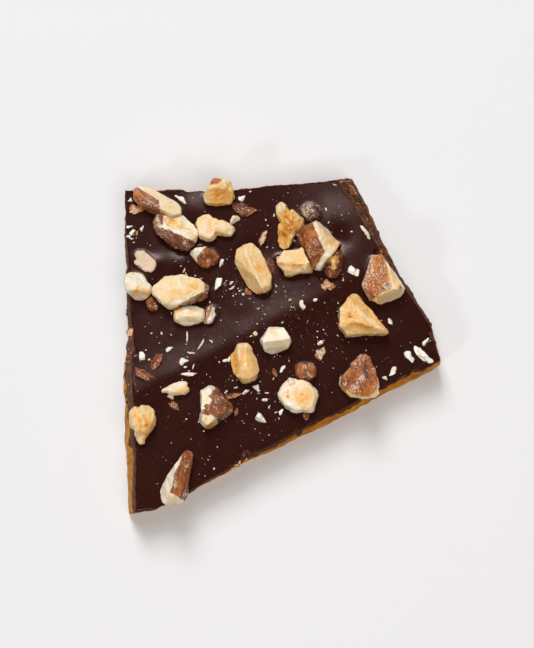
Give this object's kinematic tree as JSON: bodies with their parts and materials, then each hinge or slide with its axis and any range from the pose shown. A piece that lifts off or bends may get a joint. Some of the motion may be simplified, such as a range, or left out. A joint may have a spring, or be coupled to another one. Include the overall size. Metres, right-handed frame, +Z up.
{
  "type": "nut chocolate bark",
  "caption": "Snapped shard of bark: amber toffee under poured dark chocolate, set with chopped roasted almonds, small nut chips and skin flakes; lies flat on its toffee underside",
  "frame": {"origin": "on the table, under the middle of the shard's bounding box", "axes": "+Z up out of the chocolate; +Y from the pointed front corner to the back edge, along the longest extent; +X to the right seen from the front"},
  "size_m": [0.0702, 0.0764, 0.0148],
  "materials": {
    "toffee": "hard amber toffee with a slight gloss, rough where it is broken",
    "chocolate": "dark chocolate, semi-gloss on its poured top and matt where it is broken",
    "almond": "matt cream almond flesh with patches of rough brown skin"
  },
  "bodies": {
    "root": {"toffee": "toffee", "chocolate": "chocolate", "almond_sliver_back_left": "almond", "almond_cup": "almond", "almond_back_edge": "almond", "almond_two_lobes": "almond", "almond_brown_block": "almond", "almond_flat_slice": "almond", "almond_left_edge": "almond", "almond_long_slice": "almond", "almond_oval": "almond", "almond_nib_half": "almond", "almond_nib_brown": "almond", "almond_long_middle": "almond", "almond_craggy": "almond", "almond_cube": "almond", "almond_tall_wedge": "almond", "almond_low_husk": "almond", "almond_round_brown": "almond", "almond_right_edge": "almond", "almond_right_wedge": "almond", "almond_white_block": "almond", "almond_golden": "almond", "almond_round_pale": "almond", "almond_skin_chip": "almond", "almond_teardrop": "almond", "almond_heart": "almond", "almond_nibbed": "almond", "almond_front_wedge": "almond", "almond_splinter": "almond"}
  },
  "joints": []
}
